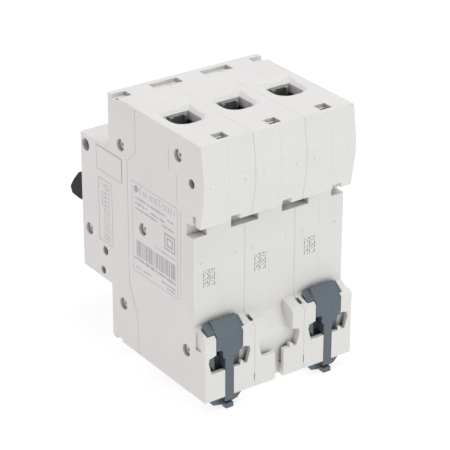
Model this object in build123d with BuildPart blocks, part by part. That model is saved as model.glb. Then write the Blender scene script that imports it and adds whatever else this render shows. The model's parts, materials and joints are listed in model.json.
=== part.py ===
"""Three-pole rail-mounted circuit breaker, in millimetres.

The origin is the centre of the rail seat: y = 0 is the face that rests on the rail and z = 0 is
the rail's centre line.  +Y points back, towards the wall; -Y is the side with the toggles; +Z is
up.  X runs across the poles.  Pole 1 is at +18, pole 2 at 0 and pole 3 at -18.

The toggles are modelled in the OFF position, with the contacts open, the terminals open and the
rail clips locked.
"""

import os
from math import cos, hypot, radians, sin

from build123d import *

os.makedirs("parts", exist_ok=True)

# ---------------------------------------------------------------- driving dimensions
pole_pitch = 18.0
half_pole = pole_pitch / 2
pole_centres = (pole_pitch, 0.0, -pole_pitch)
clip_poles = (1, 3)

half_height = 40.5
shoulder_y = -44.0
nose_y = -60.0
nose_half = 22.5
nose_root_half = 23.3
rear_top_y = 3.6
bulge_y = 5.1
bulge_high_z = 30.6
bulge_low_z = 25.0
lip_y = 3.4
lip_z = 14.9
block_y = 5.5
block_top_z = -17.9
block_edge_z = -20.3

rail_half = 17.5
rail_slot_top = rail_half + 0.4
rail_slot_in = 1.1
rail_slot_mouth = 1.5

wall = 1.8
side_wall = 1.5
inner_half = half_pole - side_wall
edge_break = 0.3
seam_break = 0.14
joint_break = 0.03

# Rivets, as (y, z), with the bosses that they pass through.
rivet_places = (
    (-37.3, 26.2),
    (-7.2, 34.0),
    (-56.0, -8.5),
    (-26.0, 3.3),
    (-37.4, -26.4),
    (-3.6, -26.7),
)
rivet_radius = 1.25
rivet_hole = 1.3
rivet_boss = 2.3
rivet_recess = 1.95
rivet_recess_depth = 1.6
rivet_head = 1.5
rivet_head_height = 0.7
rivet_dimple = 0.5

# Blind holes for accessories on the two outer faces, as (y, z, radius, depth).
blind_holes = (
    (-56.9, 19.2, 2.0, 3.4),
    (-0.4, 27.8, 1.45, 3.4),
    (-47.0, -12.4, 1.45, 2.3),
    (-48.5, -19.6, 1.3, 3.2),
)
blind_floor = 0.9
blind_skin = 1.0

# Lines moulded into the two outer faces, as runs of (y, z) points.
panel_lines = (
    (
        (-29.2, 40.0),
        (-29.2, 27.0),
        (-33.8, 22.4),
        (-33.8, -17.3),
        (-31.1, -24.0),
        (-29.2, -28.3),
        (-29.2, -40.0),
    ),
    ((-11.9, 35.0), (-11.9, 28.0)),
    ((-7.8, 19.5), (-7.8, 28.0)),
)
panel_line_width = 0.16
panel_line_depth = 0.07
frame_line_depth = 0.08
gap_depth = 0.8

# Terminals: the upper one is at +terminal_z and the lower one mirrors it.
terminal_z = 32.0
entry_half_x = 4.5
entry_front = -22.0
entry_rear = -13.0
entry_corner = 3.0
funnel = 1.3
slot_depth = 1.2
hole_depth = 4.6
dish_radius = 7.3
dish_depth = 0.8
collar_z = 36.6
collar_front = -24.6
collar_rear = -10.4
chamber_z = 24.2
chamber_wall = 1.6
access_radius = 3.75
head_radius = 3.1
head_front = -39.6
head_height = 3.2
shank_radius = 2.4
shank_end = -24.2
guide_rear = -34.6
guide_inner_z = 27.0
cage_half_x = 5.6
cage_front = -26.6
cage_rear = -11.8
cage_half_z = 4.4
cage_side = 1.2
cage_nut = 2.5
cage_back = 1.4
plate_front = -21.75
plate_thick = 1.2
plate_half_x = 2.7
plate_top = 39.1
flange_thick = 0.8
flange_rear = -19.75
flange_low = 36.9

# Toggle, link and contact arm: a crank, a rod and a lever in the (y, z) plane.
toggle_centre = (-52.6, 5.0)
toggle_off = 20.0
drum_radius = 7.2
drum_half_x = 3.5
crank_radius = 4.8
crank_angle = 20.0
wire_radius = 0.6
link_x = 4.9
arm_pivot = (-36.0, -8.0)
lever_length = 11.0
lever_angle = 8.5
carrier_half_x = 2.4
pivot_radius = 1.0
arm_angle = -15.85
arm_length = 18.2
arm_half = 0.8
arm_half_x = 1.5

# Trip parts
trip_centre = (-40.0, -18.0)
trip_bar_radius = 1.5

# Magnetic trip coil
coil_z = 14.0
coil_front = -21.8
coil_turns = 9
coil_wire = 1.4
coil_inner = 3.0
coil_outer = 5.8
plunger_radius = 2.4

# Rail clip and its channel
channel_half = 4.75
channel_floor = 3.1
channel_step_z = -31.5
stem_slot_half = 1.55
pocket_rear = 4.1
pocket_half_x = 7.5
pocket_bottom = -37.0
pocket_top = -27.4
well_floor = 0.4
clip_half = 4.5
ear_reaches = ((1, 7.0), (-1, 5.6))
ear_room_low = -23.9


# ---------------------------------------------------------------- shared geometry
def turned(centre, radius, angle):
    """The (y, z) point at a radius and an angle above +Y from a centre."""
    return (centre[0] + radius * cos(radians(angle)), centre[1] + radius * sin(radians(angle)))


def on_handle(reach, aside):
    """The (y, z) point at a distance out along the toggle's handle, and above its centre line."""
    tilt = radians(toggle_off)
    y = toggle_centre[0] - reach * cos(tilt) - aside * sin(tilt)
    z = toggle_centre[1] - reach * sin(tilt) + aside * cos(tilt)
    return (y, z)


def prism(points, x_from, x_to, mode=Mode.ADD):
    """Extrude an outline of (y, z) points from one x to another."""
    with BuildSketch(Plane.YZ.offset(x_from)) as profile:
        with BuildLine():
            Polyline(*points, close=True)
        make_face()
    extrude(profile.sketch, amount=x_to - x_from, mode=mode)


def plank(points, y_from, y_to, mode=Mode.ADD):
    """Extrude an outline of (x, z) points from one y to another."""
    with BuildSketch(Plane.XZ.offset(-y_from)) as profile:
        with BuildLine():
            Polyline(*points, close=True)
        make_face()
    extrude(profile.sketch, amount=y_from - y_to, mode=mode)


def box(x_range, y_range, z_range, mode=Mode.ADD):
    """A block between two corners."""
    low_z, high_z = sorted(z_range)
    with BuildSketch(Plane.XY.offset(low_z)) as profile:
        with Locations(((x_range[0] + x_range[1]) / 2, (y_range[0] + y_range[1]) / 2)):
            Rectangle(abs(x_range[1] - x_range[0]), abs(y_range[1] - y_range[0]))
    extrude(profile.sketch, amount=high_z - low_z, mode=mode)


def rod_x(centre, radius, x_from, x_to, mode=Mode.ADD):
    """A round bar along X about a (y, z) centre."""
    with BuildSketch(Plane.YZ.offset(x_from)) as profile:
        with Locations(centre):
            Circle(radius)
    extrude(profile.sketch, amount=x_to - x_from, mode=mode)


def rod_y(centre, radius, y_from, y_to, mode=Mode.ADD):
    """A round bar along Y about an (x, z) centre."""
    with BuildSketch(Plane.XZ.offset(-y_from)) as profile:
        with Locations(centre):
            Circle(radius)
    extrude(profile.sketch, amount=y_from - y_to, mode=mode)


def save(builder, name):
    """Label the finished piece and write its STEP file."""
    builder.part.label = name
    export_step(builder.part, f"parts/{name}.step")


# ---------------------------------------------------------------- case shells
case_outline = (
    (shoulder_y, half_height),
    (rear_top_y, half_height),
    (bulge_y, bulge_high_z),
    (bulge_y, bulge_low_z),
    (lip_y, lip_z),
    (rail_slot_mouth, lip_z),
    (rail_slot_in, rail_slot_top),
    (0.0, rail_slot_top),
    (0.0, block_top_z),
    (block_y - 1.1, block_top_z - 1.4),
    (block_y, block_edge_z),
    (block_y, -half_height),
    (shoulder_y + 0.8, -half_height),
    (shoulder_y, -half_height + 0.8),
    (shoulder_y, -nose_half),
    (nose_y, -nose_half),
    (nose_y, nose_half),
    (shoulder_y, nose_root_half),
)

cavity_outline = (
    (shoulder_y + wall, half_height - wall),
    (rear_top_y - wall, half_height - wall),
    (bulge_y - wall, bulge_high_z - 1.0),
    (bulge_y - wall, bulge_low_z + 0.5),
    (-wall, rail_slot_top + wall),
    (-wall, -half_height + wall),
    (shoulder_y + wall, -half_height + wall),
    (shoulder_y + wall, -nose_half + wall),
    (nose_y + wall, -nose_half + wall),
    (nose_y + wall, nose_half - wall),
    (shoulder_y + wall, nose_half - wall),
)

channel_outline = (
    (0.0, block_top_z + 1),
    (block_y + 1, block_top_z + 1),
    (block_y + 1, channel_step_z),
    (channel_floor, channel_step_z),
    (channel_floor, -26.0),
    (0.0, -20.0),
)


def shell_blank(centre, side, outermost):
    """The solid half of one pole, with its edges broken before anything is cut."""
    prism(case_outline, centre, centre + side * half_pole)
    outer_face = faces().sort_by(Axis.X, reverse=side < 0)[-1]
    chamfer(outer_face.edges(), edge_break if outermost else seam_break)
    joint_face = faces().sort_by(Axis.X, reverse=side < 0)[0]
    chamfer(joint_face.edges(), joint_break)


def shell_bosses(centre, side, outermost):
    """Bosses and ribs that carry the rivets, the pins and the terminals."""
    inner = centre + side * inner_half
    for place in rivet_places:
        rod_x(place, rivet_boss, centre, inner)
    rod_x(toggle_centre, 3.4, centre + side * (drum_half_x + 0.25), inner)
    rod_x(arm_pivot, 2.4, centre + side * 4.3, inner)
    for sign in (1, -1):
        span = (sign * guide_inner_z, sign * (half_height - wall))
        box((centre, inner), (shoulder_y + wall, guide_rear), span)
        collar_span = (sign * collar_z, sign * (half_height - wall))
        box((centre, inner), (collar_front, collar_rear), collar_span)
    box((centre, inner), (-35.0, -6.6), (chamber_z - chamber_wall, chamber_z))
    box((centre, inner), (-25.6, -wall), (chamber_wall - chamber_z, -chamber_z))
    box((centre, inner), (-4.6, -wall), (9.0, rail_slot_top))
    box((centre + side * 3.9, inner), (-6.9, -wall), (9.9, 15.9))
    box((centre, centre + side * 3.6), (-3.4, rear_top_y - wall), (35.2, half_height - wall))
    if outermost:
        for y, z, radius, depth in blind_holes:
            start = centre + side * (half_pole - depth - blind_floor)
            rod_x((y, z), radius + blind_skin, start, inner)


def shell_terminals(centre):
    """Wire entries, screw holes and the slots along the top and bottom faces."""
    for sign in (1, -1):
        outer_face = sign * (half_height + 1)
        span = (sign * (collar_z - 0.5), outer_face)
        with BuildSketch(Plane.XY.offset(min(span))) as entry:
            with Locations((centre, (entry_front + entry_rear) / 2)):
                Rectangle(2 * entry_half_x, entry_rear - entry_front)
            fillet(entry.vertices().sort_by(Axis.Y)[-2:], entry_corner)
        extrude(entry.sketch, amount=max(span) - min(span), mode=Mode.SUBTRACT)
        with BuildSketch(Plane.XY.offset(sign * half_height)) as mouth:
            with Locations((centre, (entry_front + entry_rear) / 2)):
                Rectangle(2 * (entry_half_x + funnel), entry_rear - entry_front + 2 * funnel)
            fillet(mouth.vertices().sort_by(Axis.Y)[-2:], entry_corner + funnel)
        with BuildSketch(Plane.XY.offset(sign * (half_height - funnel))) as throat:
            with Locations((centre, (entry_front + entry_rear) / 2)):
                Rectangle(2 * entry_half_x, entry_rear - entry_front)
            fillet(throat.vertices().sort_by(Axis.Y)[-2:], entry_corner)
        loft(sections=[mouth.sketch.faces()[0], throat.sketch.faces()[0]], ruled=True, mode=Mode.SUBTRACT)
        axis = (centre, sign * terminal_z)
        rod_y(axis, access_radius, shoulder_y - 1, head_front - 0.7, Mode.SUBTRACT)
        rod_y(axis, head_radius + 0.2, head_front - 0.8, head_front + head_height + 0.1, Mode.SUBTRACT)
        rod_y(axis, shank_radius + 0.3, head_front, guide_rear + 1, Mode.SUBTRACT)
        slot_floor = sign * (half_height - slot_depth)
        hole_floor = sign * (half_height - hole_depth)
        for edge, hole_end in ((-1, 5.3), (1, 8.2)):
            reach = (centre + edge * 4.1, centre + edge * (half_pole + 1))
            box(reach, (-41.9, -38.3), (slot_floor, outer_face), Mode.SUBTRACT)
            hole = (centre + edge * 4.3, centre + edge * hole_end)
            box(hole, (-40.9, -38.4), (hole_floor, outer_face), Mode.SUBTRACT)
        box((centre - 2.0, centre + 2.0), (-1.7, 2.0), (slot_floor, outer_face), Mode.SUBTRACT)
        box((centre - 1.9, centre + 0.8), (-1.0, 1.7), (hole_floor, outer_face), Mode.SUBTRACT)


def shell_dishes(centre):
    """The shallow dish round each wire entry, the cap of a large sphere."""
    sphere_radius = (dish_radius**2 + dish_depth**2) / (2 * dish_depth)
    for sign in (1, -1):
        high = sign * (half_height + sphere_radius - dish_depth)
        with Locations((centre, (entry_front + entry_rear) / 2, high)):
            Sphere(sphere_radius, mode=Mode.SUBTRACT)


def shell_rear(centre, side, clipped):
    """Rail pockets, the clip's channel and the notches beside it."""
    for edge in (-1, 1):
        reach = (centre + edge * 4.2, centre + edge * (half_pole + 1))
        box(reach, (-3.2, 1.3), (10.9, lip_z), Mode.SUBTRACT)
        deep = (centre + edge * 4.3, centre + edge * 5.2)
        box(deep, (-6.1, -3.0), (11.5, 13.5), Mode.SUBTRACT)
        side_pocket = (centre + edge * (half_pole - 0.6), centre + edge * (half_pole + 1))
        box(side_pocket, (1.2, 3.9), (-24.2, block_top_z), Mode.SUBTRACT)
    box((centre - 4.9, centre - 1.7), (0.6, block_y), (lip_z - 1, lip_z + 1.6), Mode.SUBTRACT)
    prism(channel_outline, centre - channel_half, centre + channel_half, Mode.SUBTRACT)
    slot = (centre - stem_slot_half, centre + stem_slot_half)
    box(slot, (channel_floor, block_y + 1), (channel_step_z + 0.1, -half_height - 1), Mode.SUBTRACT)
    pocket = (centre - pocket_half_x, centre + pocket_half_x)
    box(pocket, (channel_floor, pocket_rear), (pocket_bottom, channel_step_z + 0.1), Mode.SUBTRACT)
    if clipped:
        box(pocket, (channel_floor, pocket_rear), (channel_step_z, pocket_top), Mode.SUBTRACT)
        well = (centre - stem_slot_half, centre + 5.05)
        box(well, (well_floor, channel_floor + 0.1), (-35.0, -22.5), Mode.SUBTRACT)
        for edge, reach in ear_reaches:
            ear_room = (centre + edge * 4.6, centre + edge * (reach + 0.2))
            box(ear_room, (1.2, 4.5), (ear_room_low, block_top_z + 1), Mode.SUBTRACT)
    for edge in (-1, 1):
        notch = ((4.6, -25.6), (7.1, -26.2), (7.4, -27.6), (6.3, channel_step_z), (4.6, channel_step_z))
        points = [(centre + edge * x, z) for x, z in notch]
        plank(points, channel_floor, block_y + 1, Mode.SUBTRACT)
    if side < 0:
        box((centre - 4.85, centre - 3.85), (pocket_rear, block_y), (channel_step_z - 0.2, -30.4))


def groove(start, end, x_range):
    """Cut a thin straight groove between two (y, z) points."""
    length = hypot(end[0] - start[0], end[1] - start[1])
    aside_y = (end[1] - start[1]) / length * panel_line_width / 2
    aside_z = (start[0] - end[0]) / length * panel_line_width / 2
    corners = (
        (start[0] + aside_y, start[1] + aside_z),
        (end[0] + aside_y, end[1] + aside_z),
        (end[0] - aside_y, end[1] - aside_z),
        (start[0] - aside_y, start[1] - aside_z),
    )
    prism(corners, x_range[0], x_range[1], Mode.SUBTRACT)


def shell_outer_face(centre, side):
    """Holes, panels and frames of an end face of the whole device."""
    face = centre + side * half_pole
    for y, z, radius, depth in blind_holes:
        rod_x((y, z), radius, face - side * depth, face + side, Mode.SUBTRACT)
    for place in rivet_places:
        rod_x(place, rivet_recess, face - side * rivet_recess_depth, face + side, Mode.SUBTRACT)
    shallow = (face - side * panel_line_depth, face + side)
    deep = (face - side * gap_depth, face + side)
    box(deep, (-51.0, -36.7), (21.5, 21.7), Mode.SUBTRACT)
    box(deep, (-37.05, -36.7), (13.9, 21.7), Mode.SUBTRACT)
    box(shallow, (-51.0, -50.85), (13.9, 21.7), Mode.SUBTRACT)
    box(shallow, (-51.0, -36.7), (13.9, 14.05), Mode.SUBTRACT)
    for run in panel_lines:
        for start, end in zip(run, run[1:]):
            groove(start, end, shallow)
    frame_outer = ((-50.2, -9.5), (-42.5, -9.5), (-42.5, 11.4), (-50.2, 11.4))
    frame_inner = ((-49.95, -9.25), (-42.75, -9.25), (-42.75, 11.15), (-49.95, 11.15))
    with BuildSketch(Plane.YZ.offset(face - side * frame_line_depth)) as frame_line:
        with BuildLine():
            Polyline(*frame_outer, close=True)
        make_face()
        with BuildLine():
            Polyline(*frame_inner, close=True)
        make_face(mode=Mode.SUBTRACT)
    extrude(frame_line.sketch, amount=side * 1.0, mode=Mode.SUBTRACT)


def case_half(name, centre, side, outermost, clipped):
    """One moulded half shell of a pole; side +1 is its +X half."""
    with BuildPart() as shell:
        shell_blank(centre, side, outermost)
        inner = centre + side * inner_half
        prism(cavity_outline, centre, inner, Mode.SUBTRACT)
        shell_bosses(centre, side, outermost)
        shell_terminals(centre)
        shell_dishes(centre)
        shell_rear(centre, side, clipped)
        far = centre + side * (half_pole + 1)
        for place in rivet_places:
            rod_x(place, rivet_hole, centre, far, Mode.SUBTRACT)
        rod_x(toggle_centre, 1.56, centre, centre + side * 6.6, Mode.SUBTRACT)
        rod_x(arm_pivot, pivot_radius, centre, centre + side * 7.0, Mode.SUBTRACT)
        slot_z = (toggle_centre[1] - 6.6, toggle_centre[1] + 6.6)
        box((centre - 3.9, centre + 3.9), (nose_y - 1, nose_y + wall + 1), slot_z, Mode.SUBTRACT)
        if outermost:
            shell_outer_face(centre, side)
        else:
            rod_x(trip_centre, trip_bar_radius + 0.1, centre, far, Mode.SUBTRACT)
            seam_gap = (far - side * (1 + seam_break), far)
            box(seam_gap, (4.6, block_y + 1), (-38.3, -36.0), Mode.SUBTRACT)
    save(shell, name)


for number, centre in enumerate(pole_centres, start=1):
    clipped = number in clip_poles
    case_half(f"case_base_{number}", centre, 1, number == 1, clipped)
    case_half(f"case_cover_{number}", centre, -1, number == 3, clipped)


# ---------------------------------------------------------------- rivets
def rivet(place):
    """A through rivet with a rolled head at each end."""
    reach = half_pole + pole_pitch
    seat = reach - rivet_recess_depth
    rod_x(place, rivet_radius, -seat, seat)
    for side in (-1, 1):
        rod_x(place, rivet_head, side * seat, side * (seat + rivet_head_height))
        rod_x(place, rivet_dimple, side * (seat - 0.3), side * reach, Mode.SUBTRACT)


with BuildPart() as rivets:
    for place in rivet_places:
        rivet(place)
save(rivets, "rivets")


# ---------------------------------------------------------------- toggles
def handle_outline(start, end, start_half, end_half):
    """The tapered outline of a handle, as (y, z) points."""
    return (
        on_handle(start, -start_half),
        on_handle(end, -end_half),
        on_handle(end, end_half),
        on_handle(start, start_half),
    )


handle_end = 18.6
handle_root_half = 2.7
handle_tip_half = 2.2
for number, centre in enumerate(pole_centres, start=1):
    with BuildPart() as toggle:
        rod_x(toggle_centre, drum_radius, centre - drum_half_x, centre + drum_half_x)
        rod_x(toggle_centre, 1.5, centre - 6.3, centre + 6.3)
        grip = handle_outline(5.0, handle_end, handle_root_half, handle_tip_half)
        prism(grip, centre - drum_half_x, centre + drum_half_x)
        crank = turned(toggle_centre, crank_radius, crank_angle)
        rod_x(crank, wire_radius + 0.08, centre - 1.5, centre + drum_half_x + 1, Mode.SUBTRACT)
    save(toggle, f"toggle_{number}")

tie_outline = (
    (-66.4, 4.4),
    (-68.0, 5.0),
    (-71.4, 1.2),
    (-73.5, -1.9),
    (-72.7, -4.0),
    (-68.4, -4.3),
    (-63.7, -3.6),
)
tie_rounding = 1.0
tie_reach_x = 23.0
with BuildPart() as toggle_tie_bar:
    prism(tie_outline, -tie_reach_x, tie_reach_x)
    fillet(edges().filter_by(Axis.X), tie_rounding)
    for centre in pole_centres:
        socket = handle_outline(5.0, handle_end, handle_root_half, handle_tip_half)
        prism(socket, centre - drum_half_x, centre + drum_half_x, Mode.SUBTRACT)
save(toggle_tie_bar, "toggle_tie_bar")

# ---------------------------------------------------------------- links and contact arms
crank_place = turned(toggle_centre, crank_radius, crank_angle)
lever_place = turned(arm_pivot, lever_length, 180.0 - lever_angle)
for number, centre in enumerate(pole_centres, start=1):
    with BuildPart() as link_wire:
        with BuildLine() as route:
            FilletPolyline(
                (centre - 1.2, *crank_place),
                (centre + link_x, *crank_place),
                (centre + link_x, *lever_place),
                (centre - carrier_half_x - 0.4, *lever_place),
                radius=1.2,
            )
        with BuildSketch(Plane.YZ.offset(centre - 1.2)) as section:
            with Locations(crank_place):
                Circle(wire_radius)
        sweep(section.sketch, path=route.wires()[0])
    save(link_wire, f"link_wire_{number}")


def arm_bar(centre, start, end, low, high, half_x, mode=Mode.ADD):
    """A straight bar lying along the contact arm's centre line."""
    corners = ((start, low), (end, low), (end, high), (start, high))
    tilt = radians(arm_angle)
    points = []
    for along, up in corners:
        y = arm_pivot[0] + along * cos(tilt) - up * sin(tilt)
        z = arm_pivot[1] + along * sin(tilt) + up * cos(tilt)
        points.append((y, z))
    prism(points, centre - half_x, centre + half_x, mode)


for number, centre in enumerate(pole_centres, start=1):
    with BuildPart() as contact_arm:
        arm_bar(centre, 1.9, arm_length, -arm_half, arm_half, arm_half_x)
        arm_bar(centre, arm_length - 2.6, arm_length, arm_half, 2 * arm_half, arm_half_x)
    save(contact_arm, f"contact_arm_{number}")

    with BuildPart() as contact_carrier:
        rod_x(arm_pivot, 3.2, centre - carrier_half_x, centre + carrier_half_x)
        rod_x(lever_place, 2.3, centre - carrier_half_x, centre + carrier_half_x)
        side_up = (lever_place[0], lever_place[1] + 2.2)
        side_down = (lever_place[0], lever_place[1] - 2.2)
        lever = (side_up, side_down, (arm_pivot[0], arm_pivot[1] - 3.0), (arm_pivot[0], arm_pivot[1] + 3.0))
        prism(lever, centre - carrier_half_x, centre + carrier_half_x)
        rod_x(lever_place, wire_radius * 2, centre - 4, centre + 4, Mode.SUBTRACT)
        rod_x(arm_pivot, pivot_radius + 0.05, centre - 4, centre + 4, Mode.SUBTRACT)
        arm_bar(centre, 1.9, arm_length, -arm_half, arm_half, arm_half_x, Mode.SUBTRACT)
    save(contact_carrier, f"contact_carrier_{number}")

with BuildPart() as arm_pivot_pins:
    for centre in pole_centres:
        rod_x(arm_pivot, pivot_radius, centre - 6.9, centre + 6.9)
save(arm_pivot_pins, "arm_pivot_pins")

spring_turns = 3
spring_wire = 0.5
spring_inner = 1.25
with BuildPart() as main_springs:
    for centre in pole_centres:
        for turn in range(spring_turns):
            start = centre + 2.6 + turn * spring_wire
            rod_x(arm_pivot, spring_inner + spring_wire, start, start + spring_wire - 0.06)
            rod_x(arm_pivot, spring_inner + spring_wire - 0.15, start, start + spring_wire)
        rod_x(arm_pivot, spring_inner, centre + 2.5, centre + 4.2, Mode.SUBTRACT)
        leg_y = arm_pivot[0] - spring_inner - spring_wire / 2
        foot = (centre + 3.1, centre + 3.6)
        box(foot, (leg_y - 0.25, leg_y + 0.25), (arm_pivot[1], arm_pivot[1] + 6.0))
save(main_springs, "main_springs")

# ---------------------------------------------------------------- trip bar and levers
with BuildPart() as trip_bar:
    rod_x(trip_centre, trip_bar_radius, -25.2, 25.2)
save(trip_bar, "trip_bar")

riser = (-31.4, -29.8)
flag = (12.4, 15.6)
for number, centre in enumerate(pole_centres, start=1):
    with BuildPart() as trip_lever:
        rod_x(trip_centre, 2.8, centre - 5.2, centre + 2.2)
        foot = (
            (-40.0, -20.8),
            (riser[1], -20.8),
            (riser[1], flag[1]),
            (riser[0], flag[1]),
            (riser[0], -18.4),
            (-40.0, -15.4),
        )
        prism(foot, centre - 5.2, centre - 3.3)
        finger = ((-39.0, -15.5), (-33.5, -14.6), (-33.5, -16.6), (-38.2, -18.6))
        prism(finger, centre - 2.0, centre + 2.0)
        hook = ((-42.2, -17.0), (-42.2, -12.6), (-40.4, -12.6), (-40.4, -15.2))
        prism(hook, centre - 2.0, centre + 2.0)
        box((centre - 5.2, centre + 1.6), riser, flag)
        rod_x(trip_centre, trip_bar_radius, centre - 8, centre + 8, Mode.SUBTRACT)
    save(trip_lever, f"trip_lever_{number}")

# ---------------------------------------------------------------- trip coils
coil_rear = coil_front + coil_turns * coil_wire
for number, centre in enumerate(pole_centres, start=1):
    with BuildPart() as coil_winding:
        groove = 0.25
        for turn in range(coil_turns):
            start = coil_front + turn * coil_wire
            rod_y((centre, coil_z), coil_outer - 0.45, start, start + coil_wire)
            rod_y((centre, coil_z), coil_outer, start + groove, start + coil_wire - groove)
        rod_y((centre, coil_z), coil_inner, coil_front - 1, coil_rear + 1, Mode.SUBTRACT)
    save(coil_winding, f"coil_winding_{number}")

    with BuildPart() as plunger:
        rod_y((centre, coil_z), plunger_radius, -17.5, -9.6)
        rod_y((centre, coil_z), 0.8, -26.0, -17.5)
    save(plunger, f"plunger_{number}")

yoke_thick = 1.2
yoke_front = coil_front - 0.4 - yoke_thick
yoke_rear = coil_rear + 0.4 + yoke_thick
yoke_low = 7.8
yoke_high = 21.8
with BuildPart() as coil_yokes:
    for centre in pole_centres:
        reach = (centre - 5.0, centre + 5.0)
        box(reach, (yoke_front, yoke_front + yoke_thick), (yoke_low, yoke_high))
        box(reach, (yoke_rear - yoke_thick, yoke_rear), (yoke_low, yoke_high))
        box(reach, (yoke_front, yoke_rear), (yoke_high - yoke_thick, yoke_high))
        rod_y((centre, coil_z), 1.1, yoke_front - 1, yoke_front + 2, Mode.SUBTRACT)
save(coil_yokes, "coil_yokes")

# ---------------------------------------------------------------- contacts, bimetal and braid
bimetal_foot = (-31.1, -23.6)
for number, centre in enumerate(pole_centres, start=1):
    with BuildPart() as fixed_contact:
        reach = (centre - 2.5, centre + 2.5)
        box(reach, (-22.6, -13.6), (-4.9, -3.9))
        box(reach, (-14.6, -13.6), (-4.9, 8.0))
        box((centre - 1.6, centre + 1.6), (-21.2, -17.0), (-5.9, -4.9))
    save(fixed_contact, f"fixed_contact_{number}")

    with BuildPart() as bimetal_strip:
        strip = (
            (-31.6, -13.0),
            (-30.6, -13.0),
            (-30.6, -24.0),
            (-27.6, -24.0),
            (-27.6, -25.0),
            (-31.6, -25.0),
        )
        prism(strip, centre - 2.5, centre + 2.5)
        rod_x(bimetal_foot, 1.0, centre - 2.5, centre + 2.5)
    save(bimetal_strip, f"bimetal_strip_{number}")

with BuildPart() as flexible_braids:
    for centre in pole_centres:
        braid_x = centre + 2.8
        with BuildLine() as route:
            FilletPolyline(
                (braid_x, -31.0, -10.8),
                (braid_x, -27.6, -12.4),
                (braid_x, -25.6, -18.2),
                (braid_x, -27.2, -23.0),
                radius=2.2,
            )
        with BuildSketch(Plane(origin=route.edges()[0] @ 0, z_dir=route.edges()[0] % 0)) as section:
            Circle(0.9)
        sweep(section.sketch, path=route.wires()[0])
save(flexible_braids, "flexible_braids")

# ---------------------------------------------------------------- arc chutes
plate_count = 8
plate_pitch = 1.7
chute_top = -7.6
for number, centre in enumerate(pole_centres, start=1):
    with BuildPart() as arc_chute:
        for layer in range(plate_count):
            high = chute_top - layer * plate_pitch
            box((centre - 5.6, centre + 5.6), (-15.6, -3.4), (high - 0.8, high))
            notch = ((centre - 2.2, -16.0), (centre + 2.2, -16.0), (centre, -11.0))
            with BuildSketch(Plane.XY.offset(high - 1)) as mouth:
                with BuildLine():
                    Polyline(*notch, close=True)
                make_face()
            extrude(mouth.sketch, amount=1.2, mode=Mode.SUBTRACT)
        low = chute_top - (plate_count - 1) * plate_pitch - 1.3
        for edge in (-1, 1):
            box((centre + edge * 5.6, centre + edge * 6.4), (-15.6, -3.4), (low, chute_top + 0.5))
    save(arc_chute, f"arc_chute_{number}")


# ---------------------------------------------------------------- terminals
def terminal_screw(centre, sign):
    """The clamping screw, with a cross recess in its head."""
    axis = (centre, sign * terminal_z)
    rod_y(axis, head_radius, head_front, head_front + head_height)
    rod_y(axis, shank_radius, head_front + head_height, shank_end)
    for half_x, half_z in ((2.3, 0.5), (0.5, 2.3)):
        span = (sign * terminal_z - half_z, sign * terminal_z + half_z)
        box((centre - half_x, centre + half_x), (head_front - 1, head_front + 1.6), span, Mode.SUBTRACT)


def cage_clamp(centre, sign):
    """The cage that the screw draws forward against the terminal plate."""
    middle = sign * terminal_z
    outer_z = (middle - cage_half_z, middle + cage_half_z)
    box((centre - cage_half_x, centre + cage_half_x), (cage_front, cage_rear), outer_z)
    inner_x = (centre - cage_half_x + cage_side, centre + cage_half_x - cage_side)
    inner_y = (cage_front + cage_nut, cage_rear - cage_back)
    box(inner_x, inner_y, (outer_z[0] - 1, outer_z[1] + 1), Mode.SUBTRACT)
    rod_y((centre, middle), shank_radius + 0.05, cage_front - 1, cage_front + cage_nut + 1, Mode.SUBTRACT)


def terminal_flanges(centre, sign):
    """The folded sides at the mouth of a terminal plate."""
    for side in (-1, 1):
        reach = (centre + side * (plate_half_x - flange_thick), centre + side * plate_half_x)
        box(reach, (plate_front, flange_rear), (sign * flange_low, sign * plate_top))


for number, centre in enumerate(pole_centres, start=1):
    for level, sign in (("upper", 1), ("lower", -1)):
        with BuildPart() as terminal_screws:
            terminal_screw(centre, sign)
        save(terminal_screws, f"{level}_screw_{number}")

        with BuildPart() as clamp:
            cage_clamp(centre, sign)
        save(clamp, f"{level}_clamp_{number}")

with BuildPart() as upper_terminals:
    for centre in pole_centres:
        reach = (centre - plate_half_x, centre + plate_half_x)
        box(reach, (plate_front, plate_front + plate_thick), (25.0, plate_top))
        terminal_flanges(centre, 1)
        box(reach, (plate_front, -4.9), (25.0, 26.2))
        box(reach, (-6.1, -4.9), (16.0, 26.2))
save(upper_terminals, "upper_terminals")

with BuildPart() as lower_terminals:
    for centre in pole_centres:
        reach = (centre - plate_half_x, centre + plate_half_x)
        box(reach, (plate_front, plate_front + plate_thick), (-plate_top, -25.0))
        terminal_flanges(centre, -1)
        box(reach, (-31.0, plate_front + plate_thick), (-26.2, -25.0))
save(lower_terminals, "lower_terminals")

# ---------------------------------------------------------------- rail clips
hood = ((1.3, -16.3), (1.3, -17.7), (3.3, -19.6), (3.3, -24.6), (5.4, -24.6), (5.4, -19.9), (2.1, -16.4))
ear = ((1.4, -16.9), (1.4, -18.2), (4.3, -20.2), (4.3, -18.9))
tooth = ((4.4, -25.9), (6.2, -26.2), (7.1, -28.2), (4.4, -31.2))
shoulder = (
    (-4.5, -24.5),
    (2.9, -24.5),
    (2.2, -25.4),
    (2.2, -27.2),
    (1.4, -27.9),
    (-1.4, -27.9),
    (-1.4, -27.4),
    (-3.6, -27.4),
    (-3.6, -26.4),
    (-4.5, -26.4),
)
foot_half = (
    (5.8, -40.9),
    (5.6, -42.2),
    (4.3, -43.7),
    (2.0, -44.2),
)
foot_plate = foot_half + tuple((-x, z) for x, z in reversed(foot_half))
clip_back = 3.3
clip_face = 5.4
thin_back = 3.25
thin_face = 3.95
arm_low = (-31.2, -28.4)
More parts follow.
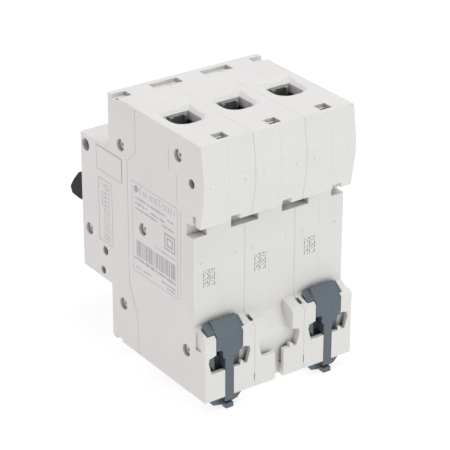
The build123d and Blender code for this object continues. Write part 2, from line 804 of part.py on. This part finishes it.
for number in clip_poles:
    centre = pole_centres[number - 1]
    with BuildPart() as din_clip:
        prism(hood, centre - clip_half, centre + clip_half)
        for edge, reach in ear_reaches:
            prism(ear, centre, centre + edge * reach)
        plank([(centre + x, z) for x, z in shoulder], clip_back, clip_face)
        box((centre - 1.4, centre + 1.4), (clip_back, clip_face), (-42.2, -24.0))
        box((centre - clip_half, centre - 1.3), (thin_back, thin_face), (-31.2, -24.0))
        box((centre - 1.4, centre + 1.4), (well_floor + 0.2, clip_back + 0.1), arm_low)
        box((centre - 1.4, centre + 4.9), (well_floor + 0.2, well_floor + 1.3), arm_low)
        box((centre + 4.3, centre + 4.9), (well_floor + 0.2, thin_face), arm_low)
        plank([(centre + x, z) for x, z in tooth], thin_back, thin_face)
        plank([(centre + x, z) for x, z in foot_plate], 2.2, clip_back + 0.1)
        box((centre - 1.3, centre + 1.3), (clip_back, 5.7), (-44.6, -43.1))
    save(din_clip, f"din_clip_{number}")
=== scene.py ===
"""Looks of the three-pole rail-mounted circuit breaker, in metres, in the CAD model's frame.

-Y is the toggle side, +Y the wall side, +Z up and X runs across the poles.  Every CAD node keeps
its shape and gets a procedural material.  Prints, moulded marks and other fine detail are added
as thin meshes that ride on the same bodies.
"""

import json
import random
from math import cos, pi, radians, sin

import bmesh
import bpy
from mathutils import Matrix, Vector


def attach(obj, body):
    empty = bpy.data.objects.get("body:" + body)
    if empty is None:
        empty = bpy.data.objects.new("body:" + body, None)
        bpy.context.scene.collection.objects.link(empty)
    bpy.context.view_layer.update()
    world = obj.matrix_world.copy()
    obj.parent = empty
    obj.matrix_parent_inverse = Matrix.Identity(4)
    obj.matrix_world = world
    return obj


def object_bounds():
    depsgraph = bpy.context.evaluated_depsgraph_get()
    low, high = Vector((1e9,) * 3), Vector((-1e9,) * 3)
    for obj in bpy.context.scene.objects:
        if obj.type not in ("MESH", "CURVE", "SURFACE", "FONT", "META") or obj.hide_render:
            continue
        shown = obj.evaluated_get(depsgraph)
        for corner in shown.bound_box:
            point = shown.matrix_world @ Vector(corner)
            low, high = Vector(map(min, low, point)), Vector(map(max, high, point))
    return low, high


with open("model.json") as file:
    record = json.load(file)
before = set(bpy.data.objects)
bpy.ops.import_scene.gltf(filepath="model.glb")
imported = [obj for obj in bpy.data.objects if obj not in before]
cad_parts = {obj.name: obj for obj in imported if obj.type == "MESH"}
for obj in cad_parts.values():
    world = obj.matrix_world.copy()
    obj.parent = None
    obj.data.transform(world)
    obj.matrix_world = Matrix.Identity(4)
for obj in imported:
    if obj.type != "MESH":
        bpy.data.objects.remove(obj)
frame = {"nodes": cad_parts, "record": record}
cad_low, cad_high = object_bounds()

MM = 0.001
POLE_CENTRES = (18.0, 0.0, -18.0)
HALF_WIDTH = 27.0
HALF_POLE = 9.0
NOSE_Y = -60.0
SHOULDER_Y = -44.0
BULGE_Y = 5.1
INK_HEIGHT = 0.02
RAISED_HEIGHT = 0.06
SUNK = 0.01

# Material settings: lengths in metres, and AO factors between which the painted shade in recesses
# fades in.
RECESS_REACH = 0.005
RECESS_CLOSED = 0.1
RECESS_OPEN = 0.42
JOINT_NEAR = 0.0001
JOINT_FAR = 0.0005
JOINT_RADIUS = 0.00002
EDGE_START = 0.97
EDGE_FULL = 0.75
RIPPLE_DEPTH = 0.00003
GRAIN_DEPTH = 0.00001
SCRATCH_DEPTH = 0.000006
METAL_EDGE = 0.0001
INK_WEAR = 0.62
INK_GRAIN = 0.000004
BRAID_DEPTH = 0.0001
BRAID_TURN = 0.7


# ------------------------------------------------------------------ node helpers
def add_node(tree, kind, inputs=None, **settings):
    """Adds a shader node. An input's value is a number, a colour or another node's output."""
    made = tree.nodes.new(kind)
    for name, value in settings.items():
        setattr(made, name, value)
    for name, value in (inputs or {}).items():
        if isinstance(value, bpy.types.NodeSocket):
            tree.links.new(value, made.inputs[name])
        else:
            made.inputs[name].default_value = value
    return made


def noise(tree, place, scale, detail=2.0, roughness=0.5):
    """Fractal noise at a scale per metre, as a factor output."""
    values = {"Vector": place, "Scale": scale, "Detail": detail, "Roughness": roughness}
    return add_node(tree, "ShaderNodeTexNoise", values).outputs["Fac"]


def remap(tree, value, low, high, to_low, to_high):
    """Stretches a factor from one range to another, clamped."""
    values = {
        "Value": value,
        "From Min": low,
        "From Max": high,
        "To Min": to_low,
        "To Max": to_high,
    }
    return add_node(tree, "ShaderNodeMapRange", values).outputs["Result"]


def mix_colour(tree, factor, first, second):
    """Mixes two colours by a factor."""
    made = add_node(tree, "ShaderNodeMix", data_type="RGBA")
    sockets = (made.inputs[0], made.inputs[6], made.inputs[7])
    for socket, value in zip(sockets, (factor, first, second)):
        if isinstance(value, bpy.types.NodeSocket):
            tree.links.new(value, socket)
        else:
            socket.default_value = value
    return made.outputs[2]


def math_node(tree, operation, *values):
    """A two-input maths node's output."""
    made = add_node(tree, "ShaderNodeMath", operation=operation)
    for socket, value in zip(made.inputs, values):
        if isinstance(value, bpy.types.NodeSocket):
            tree.links.new(value, socket)
        else:
            socket.default_value = value
    return made.outputs[0]


def colour(red, green, blue):
    """An opaque linear colour."""
    return (red, green, blue, 1.0)


def start_material(name):
    """A material with its tree, its Principled shader and object coordinates."""
    made = bpy.data.materials.new(name)
    made.use_nodes = True
    tree = made.node_tree
    shader = tree.nodes["Principled BSDF"]
    place = add_node(tree, "ShaderNodeTexCoord").outputs["Object"]
    return made, tree, shader, place


def joint_fade(tree, place, radius):
    """A bevel radius that shrinks at the joint in the middle of each pole."""
    across = add_node(tree, "ShaderNodeSeparateXYZ", {"Vector": place}).outputs["X"]
    folded = math_node(tree, "PINGPONG", across, HALF_POLE * MM)
    return remap(tree, folded, JOINT_NEAR, JOINT_FAR, JOINT_RADIUS, radius)


def soft_edges(tree, radius):
    """The normal of a rounded edge, and a factor that is 0 on flats and rises on edges."""
    rounded = add_node(tree, "ShaderNodeBevel", {"Radius": radius}, samples=6).outputs["Normal"]
    flat = add_node(tree, "ShaderNodeNewGeometry").outputs["Normal"]
    agree = add_node(tree, "ShaderNodeVectorMath", operation="DOT_PRODUCT")
    tree.links.new(rounded, agree.inputs[0])
    tree.links.new(flat, agree.inputs[1])
    return rounded, remap(tree, agree.outputs["Value"], EDGE_START, EDGE_FULL, 0.0, 1.0)


def shade_recesses(tree, tone, painted_recess_shade):
    """Paints shade into a colour inside narrow recesses, where the ambient-occlusion node finds
    little open space around the surface.
    """
    values = {"Distance": RECESS_REACH}
    openness = add_node(tree, "ShaderNodeAmbientOcclusion", values, samples=6).outputs["AO"]
    return mix_colour(tree, remap(tree, openness, RECESS_CLOSED, RECESS_OPEN, 0.0, 1.0), painted_recess_shade, tone)


def bump(tree, height, depth, normal=None, strength=1.0):
    """A bump of a height factor over a depth in metres, on top of another normal."""
    values = {"Height": height, "Distance": depth, "Strength": strength}
    if normal is not None:
        values["Normal"] = normal
    return add_node(tree, "ShaderNodeBump", values).outputs["Normal"]


# ------------------------------------------------------------------ materials
def moulded(
    name, base, shade, edge, rough, edge_radius=0.0002, jointed=False, painted_recess_shade=None, **sockets
):
    """Injection-moulded plastic: mottled tone, spark-eroded grain, soft edges with a painted
    highlight, and painted shade in recesses when a recess colour is given.
    """
    made, tree, shader, place = start_material(name)
    cloud = noise(tree, place, 55.0, 4.0, 0.6)
    speck = noise(tree, place, 1400.0, 2.0)
    grain = noise(tree, place, 3600.0, 3.0, 0.65)
    ripple = noise(tree, place, 260.0, 2.0)
    tone = mix_colour(tree, remap(tree, cloud, 0.3, 0.7, 0.0, 1.0), base, shade)
    tone = mix_colour(tree, remap(tree, speck, 0.62, 0.8, 0.0, 0.35), tone, shade)
    radius = joint_fade(tree, place, edge_radius) if jointed else edge_radius
    rounded, painted_highlight_mask = soft_edges(tree, radius)
    # Painted highlight: edges are mixed halfway towards the paler edge colour.
    tone = mix_colour(tree, math_node(tree, "MULTIPLY", painted_highlight_mask, 0.5), tone, edge)
    # Painted shade: narrow recesses are darkened towards the given dark colour.
    if painted_recess_shade is not None:
        tone = shade_recesses(tree, tone, painted_recess_shade)
    tree.links.new(tone, shader.inputs["Base Color"])
    uneven = remap(tree, grain, 0.3, 0.7, rough - 0.06, rough + 0.08)
    tree.links.new(uneven, shader.inputs["Roughness"])
    surface = bump(tree, ripple, RIPPLE_DEPTH, rounded, 0.25)
    tree.links.new(bump(tree, grain, GRAIN_DEPTH, surface), shader.inputs["Normal"])
    for socket, value in sockets.items():
        shader.inputs[socket.replace("_", " ")].default_value = value
    return made


def metal(name, base, tarnish, rough, brushed=(1.0, 1.0, 1.0)):
    """Metal with cloudy tarnish, fine scratches stretched along one axis and painted highlights on
    its edges.
    """
    made, tree, shader, place = start_material(name)
    stretched = add_node(tree, "ShaderNodeMapping", {"Vector": place, "Scale": brushed})
    cloud = noise(tree, place, 160.0, 5.0, 0.6)
    lines = noise(tree, stretched.outputs["Vector"], 2600.0, 3.0, 0.6)
    tone = mix_colour(tree, remap(tree, cloud, 0.35, 0.7, 0.0, 0.8), base, tarnish)
    rounded, painted_highlight_mask = soft_edges(tree, METAL_EDGE)
    # Painted highlight: edges are mixed towards a paler copy of the base colour.
    painted_edge_highlight = colour(*[min(1.0, channel * 1.25) for channel in base[:3]])
    tone = mix_colour(tree, math_node(tree, "MULTIPLY", painted_highlight_mask, 0.6), tone, painted_edge_highlight)
    tree.links.new(tone, shader.inputs["Base Color"])
    shader.inputs["Metallic"].default_value = 1.0
    uneven = remap(tree, lines, 0.3, 0.7, rough - 0.08, rough + 0.12)
    tree.links.new(uneven, shader.inputs["Roughness"])
    tree.links.new(bump(tree, lines, SCRATCH_DEPTH, rounded), shader.inputs["Normal"])
    return made


def ink(name, dark, faded):
    """Printed ink whose density varies and thins out in specks."""
    made, tree, shader, place = start_material(name)
    speck = noise(tree, place, 5200.0, 3.0, 0.6)
    worn = remap(tree, speck, INK_WEAR - 0.12, INK_WEAR + 0.1, 0.0, 1.0)
    tone = mix_colour(tree, worn, dark, faded)
    tree.links.new(tone, shader.inputs["Base Color"])
    tree.links.new(remap(tree, speck, 0.3, 0.7, 0.45, 0.65), shader.inputs["Roughness"])
    tree.links.new(bump(tree, speck, INK_GRAIN), shader.inputs["Normal"])
    return made


def braided(name, base, tarnish):
    """Copper braid: two crossing sets of fine strands."""
    made, tree, shader, place = start_material(name)
    crossing = []
    for turn in (BRAID_TURN, -BRAID_TURN):
        turned = {"Vector": place, "Rotation": (turn, turn, turn)}
        spun = add_node(tree, "ShaderNodeMapping", turned).outputs["Vector"]
        bands = add_node(tree, "ShaderNodeTexWave", {"Vector": spun, "Scale": 900.0})
        crossing.append(bands.outputs["Fac"])
    woven = math_node(tree, "MULTIPLY", *crossing)
    tree.links.new(mix_colour(tree, woven, tarnish, base), shader.inputs["Base Color"])
    shader.inputs["Metallic"].default_value = 1.0
    tree.links.new(remap(tree, woven, 0.0, 1.0, 0.55, 0.3), shader.inputs["Roughness"])
    tree.links.new(bump(tree, woven, BRAID_DEPTH), shader.inputs["Normal"])
    return made


# The third colour of each moulded material is its painted edge highlight.
housing_white = moulded(
    "housing_white",
    colour(0.80, 0.788, 0.772),
    colour(0.765, 0.752, 0.738),
    colour(0.87, 0.862, 0.85),
    0.5,
    jointed=True,
    # Painted shade colour for narrow recesses.
    painted_recess_shade=colour(0.20, 0.195, 0.19),
    Subsurface_Weight=0.06,
    Subsurface_Scale=0.0012,
    IOR=1.5,
)
clip_grey = moulded(
    "clip_grey",
    colour(0.096, 0.125, 0.156),
    colour(0.080, 0.106, 0.134),
    colour(0.26, 0.30, 0.34),
    0.28,
    edge_radius=0.0004,
    IOR=1.6,
)
toggle_navy = moulded(
    "toggle_navy",
    colour(0.0035, 0.0055, 0.011),
    colour(0.0025, 0.004, 0.008),
    # Painted reflection: this bluish edge colour stands in for the glossy band along the handle's
    # rim.
    colour(0.07, 0.09, 0.13),
    0.24,
    edge_radius=0.0008,
    Specular_IOR_Level=0.1,
)
trip_ivory = moulded(
    "trip_ivory",
    colour(0.72, 0.68, 0.56),
    colour(0.66, 0.62, 0.50),
    colour(0.80, 0.77, 0.68),
    0.42,
)
carrier_black = moulded(
    "carrier_black",
    colour(0.02, 0.02, 0.022),
    colour(0.014, 0.014, 0.015),
    colour(0.05, 0.05, 0.05),
    0.45,
)
ALONG_X = (0.1, 1.0, 1.0)
ALONG_Y = (1.0, 0.1, 1.0)
ALONG_Z = (1.0, 1.0, 0.1)
rivet_metal = metal("rivet_metal", colour(0.84, 0.82, 0.80), colour(0.66, 0.64, 0.62), 0.42)
steel_metal = metal("steel_metal", colour(0.45, 0.45, 0.46), colour(0.3, 0.3, 0.3), 0.36, ALONG_Y)
spring_metal = metal("spring_metal", colour(0.5, 0.5, 0.52), colour(0.33, 0.33, 0.35), 0.25)
plated_metal = metal(
    "plated_metal", colour(0.36, 0.37, 0.36), colour(0.2, 0.21, 0.2), 0.38, ALONG_X
)
zinc_metal = metal("zinc_metal", colour(0.62, 0.63, 0.64), colour(0.44, 0.45, 0.47), 0.3)
tin_metal = metal("tin_metal", colour(0.40, 0.42, 0.40), colour(0.25, 0.27, 0.26), 0.4, ALONG_X)
copper_metal = metal(
    "copper_metal", colour(0.78, 0.38, 0.24), colour(0.45, 0.2, 0.13), 0.32, ALONG_Y
)
enamel_metal = metal("enamel_metal", colour(0.62, 0.2, 0.08), colour(0.45, 0.12, 0.05), 0.2)
bimetal_metal = metal(
    "bimetal_metal", colour(0.6, 0.57, 0.5), colour(0.42, 0.38, 0.33), 0.35, ALONG_Z
)
braid_metal = braided("braid_metal", colour(0.8, 0.42, 0.28), colour(0.35, 0.16, 0.1))
laser_grey = ink("laser_grey", colour(0.43, 0.415, 0.435), colour(0.55, 0.53, 0.54))
print_black = ink("print_black", colour(0.07, 0.07, 0.065), colour(0.2, 0.2, 0.19))
print_grey = ink("print_grey", colour(0.16, 0.17, 0.18), colour(0.3, 0.3, 0.3))

SLOT_MATERIALS = {
    "housing_plastic": housing_white,
    "toggle_plastic": toggle_navy,
    "clip_plastic": clip_grey,
    "trip_plastic": trip_ivory,
    "carrier_plastic": carrier_black,
    "rivet_steel": rivet_metal,
    "steel": steel_metal,
    "spring_steel": spring_metal,
    "plated_steel": plated_metal,
    "zinc_steel": zinc_metal,
    "tinned_copper": tin_metal,
    "copper": copper_metal,
    "enamelled_copper": enamel_metal,
    "braid_copper": braid_metal,
    "bimetal": bimetal_metal,
}


def paint_cad_nodes():
    """Gives every CAD node the material of its slot in the record."""
    for entry in frame["record"]["subparts"]:
        data = frame["nodes"][entry["node"]].data
        data.materials.clear()
        data.materials.append(SLOT_MATERIALS[entry["material_slot"]])


paint_cad_nodes()


# ------------------------------------------------------------------ flat shapes
def bar(left, low, right, high):
    """A rectangle as a list of corners."""
    return [(left, low), (right, low), (right, high), (left, high)]


def disc(centre_u, centre_v, radius, sides=16):
    """A filled circle."""
    turns = [2 * pi * step / sides for step in range(sides)]
    return [(centre_u + radius * cos(turn), centre_v + radius * sin(turn)) for turn in turns]


def outline(left, low, right, high, width):
    """A rectangular line, as four bars that meet at the corners."""
    return [
        bar(left, low, right, low + width),
        bar(left, high - width, right, high),
        bar(left, low + width, left + width, high - width),
        bar(right - width, low + width, right, high - width),
    ]


def ring(centre_u, centre_v, radius, width, sides=24):
    """A round line, as a fan of small quads."""
    quads = []
    for step in range(sides):
        turns = (2 * pi * step / sides, 2 * pi * (step + 1) / sides)
        corners = []
        for reach, order in ((radius, turns), (radius - width, turns[::-1])):
            for turn in order:
                corners.append((centre_u + reach * cos(turn), centre_v + reach * sin(turn)))
        quads.append(corners)
    return quads


# ------------------------------------------------------------------ faces of the case
def on_side(side):
    """Places (y, z, height) points on an end face of the case."""
    return lambda u, v, height: Vector((side * (HALF_WIDTH + height), u, v)) * MM


def on_rear(depth):
    """Places (x, z, height) points on a rear wall at a depth."""
    return lambda u, v, height: Vector((u, depth + height, v)) * MM


def on_front(depth):
    """Places (x, z, height) points on a front wall at a depth."""
    return lambda u, v, height: Vector((u, depth - height, v)) * MM


def finish_piece(name, mesh_maker, material, body):
    """Turns a filled bmesh into a piece that rides on a CAD body."""
    bmesh.ops.recalc_face_normals(mesh_maker, faces=mesh_maker.faces)
    data = bpy.data.meshes.new(name)
    mesh_maker.to_mesh(data)
    mesh_maker.free()
    data.materials.append(material)
    made = bpy.data.objects.new(name, data)
    bpy.context.scene.collection.objects.link(made)
    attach(made, body)
    return made


def stamp(name, shapes, place, material, high=INK_HEIGHT):
    """A thin raised print made of flat shapes on one face of the housing."""
    maker = bmesh.new()
    for shape in shapes:
        base = [maker.verts.new(place(u, v, -SUNK)) for u, v in shape]
        top = [maker.verts.new(place(u, v, high)) for u, v in shape]
        maker.faces.new(base)
        maker.faces.new(top)
        for here in range(len(shape)):
            ahead = (here + 1) % len(shape)
            maker.faces.new((base[here], base[ahead], top[ahead], top[here]))
    return finish_piece(name, maker, material, "housing")


# ------------------------------------------------------------------ side label
def word_line(start, end, level, height, seed):
    """A line of short dashes, dense like small print but without any letters."""
    draw = random.Random(seed)
    shapes = []
    at = start
    while at < end - 0.3:
        length = min(draw.uniform(0.45, 1.1), end - at)
        lift = draw.choice((0.0, 0.12, 0.2)) * height
        shapes.append(bar(at, level - height / 2 + lift, at + length, level + height / 2 - lift))
        at += length + draw.choice((0.16, 0.16, 0.16, 0.55))
    return shapes


def heading_line(start, end, level, height, seed):
    """Larger upright strokes of uneven height, the weight of a heading without letters."""
    draw = random.Random(seed)
    shapes = []
    at = start
    while at < end - 0.4:
        tall = height * draw.choice((1.0, 0.7, 0.7))
        low = level - height / 2
        shapes.append(bar(at, low, at + 0.22, low + tall))
        width = draw.uniform(0.75, 1.15)
        if draw.random() < 0.7:
            shapes.append(bar(at + 0.3, low, at + width - 0.1, low + 0.2))
            shapes.append(bar(at + 0.3, low + tall - 0.2, at + width - 0.1, low + tall))
        at += width + draw.choice((0.3, 0.3, 0.9))
    return shapes


def bar_field(start, end, low, high, seed):
    """Upright bars of uneven width."""
    draw = random.Random(seed)
    shapes = []
    at = start
    while at < end:
        width = draw.choice((0.17, 0.17, 0.34, 0.5))
        shapes.append(bar(at, low, min(at + width, end), high))
        at += width + draw.choice((0.17, 0.17, 0.34, 0.5))
    return shapes


def side_label():
    """The rating panel printed on the left end face."""
    shapes = outline(-31.4, -12.0, -7.75, 17.3, 0.14)
    shapes += [bar(-6.2, -11.0, -6.08, 17.3)]
    shapes += [disc(-29.2, 15.2, 1.15)]
    shapes += heading_line(-27.3, -8.6, 15.3, 1.9, 3)
    shapes += word_line(-29.7, -14.1, 12.4, 0.6, 5)
    shapes += word_line(-12.8, -9.2, 11.6, 0.5, 6)
    shapes += word_line(-29.7, -23.5, 10.7, 0.6, 7)
    shapes += word_line(-21.6, -14.4, 10.3, 0.6, 8)
    shapes += word_line(-29.7, -18.4, 9.0, 0.6, 9)
    shapes += word_line(-15.5, -9.5, 8.9, 0.7, 10)
    shapes += outline(-14.5, 1.9, -9.0, 7.1, 0.45)
    shapes += outline(-13.3, 3.1, -10.2, 5.9, 0.45)
    shapes += word_line(-19.2, -9.0, 0.3, 0.5, 11)
    shapes += bar_field(-29.4, -8.9, -6.5, -1.3, 12)
    shapes += word_line(-30.4, -8.9, -7.5, 0.9, 13)
    shapes += word_line(-29.8, -21.6, -10.3, 0.5, 14)
    shapes += word_line(-16.1, -9.0, -9.5, 0.5, 15)
    shapes += word_line(-13.5, -9.0, -10.7, 0.5, 16)
    stamp("side_label_left", shapes, on_side(1), laser_grey)


side_label()


# ------------------------------------------------------------------ dot print on the rail seat
DOT_CLUSTERS = 4
DOT_ROWS = 7
DOT_COLUMNS = 5


def dot_print():
    """Clusters of printed dots on each pole's rail seat: a dot-matrix mark with no characters."""
    for number, centre in enumerate(POLE_CENTRES, start=1):
        draw = random.Random(40)
        shapes = []
        for cluster in range(DOT_CLUSTERS):
            for row in range(DOT_ROWS):
                for column in range(DOT_COLUMNS):
                    at_end = column in (0, DOT_COLUMNS - 1)
                    rim = at_end or row in (0, DOT_ROWS // 2, DOT_ROWS - 1)
                    if draw.random() < (0.62 if rim else 0.12):
                        across = centre + 5.3 - row * 0.62
                        up = -5.6 + cluster * 1.38 + column * 0.25
                        shapes.append(disc(across, up, 0.15, 8))
        stamp(f"dot_print_{number}", shapes, on_rear(0.0), print_black)


dot_print()


# ------------------------------------------------------------------ raised marks on the end faces
def raised_column(side):
    """A column of raised hollow blocks inside the moulded frame of an end face."""
    draw = random.Random(21)
    shapes = []
    for index in range(7):
        low = -8.4 + index * 2.75
        tall = draw.choice((3.0, 3.0, 4.2))
        shapes += outline(-44.2 - tall, low, -44.2, low + 1.9, 0.3)
        if draw.random() < 0.6:
            shapes.append(bar(-44.2 - tall / 2 - 0.15, low, -44.2 - tall / 2 + 0.15, low + 1.9))
    name = f"raised_column_{'left' if side > 0 else 'right'}"
    stamp(name, shapes, on_side(side), housing_white, high=RAISED_HEIGHT)


for end_side in (1, -1):
    raised_column(end_side)


# ------------------------------------------------------------------ marks on the front
SEGMENTS = {
    "1": "bc",
    "2": "abged",
    "3": "abgcd",
    "4": "fgbc",
    "5": "afgcd",
    "6": "afgedc",
}


def digit(character, centre_u, centre_v, width, height, stroke):
    """A plain segment digit for a terminal number."""
    left = centre_u - width / 2
    right = centre_u + width / 2
    low = centre_v - height / 2
    high = centre_v + height / 2
    half = stroke / 2
    strokes = {
        "a": bar(left, high - stroke, right, high),
        "d": bar(left, low, right, low + stroke),
        "g": bar(left, centre_v - half, right, centre_v + half),
        "b": bar(right - stroke, centre_v + half, right, high),
        "c": bar(right - stroke, low, right, centre_v - half),
        "f": bar(left, centre_v + half, left + stroke, high),
        "e": bar(left, low, left + stroke, centre_v - half),
    }
    return [strokes[letter] for letter in SEGMENTS[character]]


def front_marks():
    """Terminal numbers, the off and on marks and a ruled marking field on every pole."""
    for number, centre in enumerate(POLE_CENTRES, start=1):
        order = 4 - number
        shoulder = digit(str(2 * order - 1), centre + 6.3, 37.6, 1.1, 1.9, 0.28)
        shoulder += digit(str(2 * order), centre + 6.3, -37.6, 1.1, 1.9, 0.28)
        name = f"terminal_numbers_{number}"
        stamp(name, shoulder, on_front(SHOULDER_Y), print_grey)
        nose = outline(centre - 6.6, 13.4, centre + 6.6, 20.6, 0.18)
        nose += word_line(centre - 5.6, centre + 5.2, 18.4, 0.9, 60)
        nose += word_line(centre - 5.6, centre + 3.4, 16.9, 0.6, 61)
        nose += word_line(centre - 5.6, centre + 4.6, 15.5, 0.6, 62)
        nose += outline(centre - 6.6, -20.4, centre + 6.6, -4.6, 0.18)
        nose += bar_field(centre - 5.2, centre + 5.2, -19.2, -16.4, 63)
        nose += word_line(centre - 5.4, centre + 5.4, -14.7, 0.6, 64)
        nose += word_line(centre - 5.4, centre + 2.6, -13.2, 0.6, 65)
        nose += ring(centre, -9.0, 2.0, 0.25)
        nose.append(bar(centre - 0.15, -12.0, centre + 0.15, -11.0))
        nose.append(bar(centre - 0.15, -7.0, centre + 0.15, -5.6))
        nose += ring(centre + 6.2, 1.2, 0.8, 0.25)
        nose.append(bar(centre + 6.05, 8.0, centre + 6.35, 9.8))
        stamp(f"nose_marks_{number}", nose, on_front(NOSE_Y), print_grey)


front_marks()


# ------------------------------------------------------------------ moulding marks on the rear
def dome(maker, place, centre_u, centre_v, radius, height, rings=5, sides=20):
    """A shallow spherical bump on a face."""
    rows = []
    for level in range(rings):
        tilt = (pi / 2) * level / rings
        reach = radius * cos(tilt)
        lift = height * sin(tilt) - SUNK
        row = []
        for step in range(sides):
            turn = 2 * pi * step / sides
            across = centre_u + reach * cos(turn)
            up = centre_v + reach * sin(turn)
            row.append(maker.verts.new(place(across, up, lift)))
        rows.append(row)
    top = maker.verts.new(place(centre_u, centre_v, height))
    for low_row, high_row in zip(rows, rows[1:]):
        for step in range(sides):
            ahead = (step + 1) % sides
            maker.faces.new((low_row[step], low_row[ahead], high_row[ahead], high_row[step]))
    for step in range(sides):
        maker.faces.new((rows[-1][step], rows[-1][(step + 1) % sides], top))


def ejector_bumps():
    """The small round witness marks of the mould on the rear walls."""
    for number, centre in enumerate(POLE_CENTRES, start=1):
        maker = bmesh.new()
        for side in (-1, 1):
            dome(maker, on_rear(0.0), centre + side * 6.0, 2.05, 0.62, 0.22)
            dome(maker, on_rear(BULGE_Y), centre + side * 5.8, 27.7, 0.62, 0.22)
        name = f"ejector_bumps_{number}"
        made = finish_piece(name, maker, housing_white, "housing")
        for face in made.data.polygons:
            face.use_smooth = True


ejector_bumps()


# ------------------------------------------------------------------ floor, lights and camera
FLOOR_HALF = 4.0
FLOOR_GAP = 0.00002
LIGHT_TARGET = (0.0, -0.027, 0.0)
WORLD_POWER = 0.53
KEY_POWER = 2.9
SIDE_POWER = 0.1
TOP_POWER = 6.2
FRONT_POWER = 2.5
FLOOR_GLOW = 0.76

# The viewing angle in degrees, the distance in metres and the target in millimetres.
CAMERA_AZIMUTH = 144.808
CAMERA_ELEVATION = 26.326
CAMERA_ROLL = 0.151
CAMERA_DISTANCE = 0.606397
CAMERA_TARGET = (-1.717, -25.0, -2.944)
CAMERA_LENS = 161.45


def pale_floor():
    """A plain pale floor just under the lowest point of the object."""
    maker = bmesh.new()
    level = cad_low.z - FLOOR_GAP
    corners = bar(-FLOOR_HALF, -FLOOR_HALF, FLOOR_HALF, FLOOR_HALF)
    maker.faces.new([maker.verts.new((x, y, level)) for x, y in corners])
    data = bpy.data.meshes.new("floor")
    maker.to_mesh(data)
    maker.free()
    made, tree, shader, place = start_material("floor_white")
    cloud = noise(tree, place, 3.0, 2.0)
    tone = mix_colour(tree, cloud, colour(0.30, 0.30, 0.30), colour(0.32, 0.32, 0.32))
    tree.links.new(tone, shader.inputs["Base Color"])
    shader.inputs["Roughness"].default_value = 0.9
    shader.inputs["Emission Color"].default_value = colour(1.0, 1.0, 1.0)
    shader.inputs["Emission Strength"].default_value = FLOOR_GLOW
    data.materials.append(made)
    floor = bpy.data.objects.new("floor", data)
    bpy.context.scene.collection.objects.link(floor)


def softbox(name, direction, distance, size, power, tint):
    """A square area light that shines at the object from a direction."""
    data = bpy.data.lights.new(name, "AREA")
    data.shape = "SQUARE"
    data.size = size
    data.energy = power
    data.color = tint
    made = bpy.data.objects.new(name, data)
    bpy.context.scene.collection.objects.link(made)
    aim = Vector(direction).normalized()
    made.location = Vector(LIGHT_TARGET) + aim * distance
    made.rotation_mode = "QUATERNION"
    made.rotation_quaternion = (-aim).to_track_quat("-Z", "Y")


def studio():
    """An even, faintly rosy white room with four soft lights."""
    world = bpy.data.worlds.new("studio")
    world.use_nodes = True
    background = world.node_tree.nodes["Background"]
    background.inputs["Color"].default_value = colour(1.0, 0.95, 0.97)
    background.inputs["Strength"].default_value = WORLD_POWER
    bpy.context.scene.world = world
    softbox("key_light", (-0.45, 0.85, 0.55), 1.3, 0.7, KEY_POWER, (0.85, 1.0, 0.86))
    softbox("side_light", (0.95, 0.1, 0.25), 1.2, 0.7, SIDE_POWER, (1.0, 0.94, 0.94))
    softbox("top_light", (-0.15, 0.1, 1.0), 1.2, 0.7, TOP_POWER, (0.95, 0.98, 1.0))
    softbox("front_light", (0.2, -0.9, 0.6), 1.3, 0.9, FRONT_POWER, (1.0, 1.0, 1.0))


def photo_camera():
    """The camera at the viewing angle that was solved for the object."""
    azimuth = radians(CAMERA_AZIMUTH)
    elevation = radians(CAMERA_ELEVATION)
    roll = radians(CAMERA_ROLL)
    target = Vector(CAMERA_TARGET) * MM
    level = cos(elevation)
    back = Vector((sin(azimuth) * level, -cos(azimuth) * level, sin(elevation)))
    level_right = Vector((0.0, 0.0, 1.0)).cross(back).normalized()
    level_up = back.cross(level_right)
    right = level_right * cos(roll) + level_up * sin(roll)
    up = back.cross(right)
    data = bpy.data.cameras.new("photo_camera")
    data.sensor_width = 36.0
    data.lens = CAMERA_LENS
    data.clip_start = 0.01
    data.clip_end = 20.0
    made = bpy.data.objects.new("photo_camera", data)
    bpy.context.scene.collection.objects.link(made)
    axes = Matrix((right, up, back)).transposed().to_4x4()
    made.matrix_world = Matrix.Translation(target + back * CAMERA_DISTANCE) @ axes
    bpy.context.scene.camera = made


pale_floor()
studio()
photo_camera()
bpy.context.scene.view_settings.view_transform = "Standard"
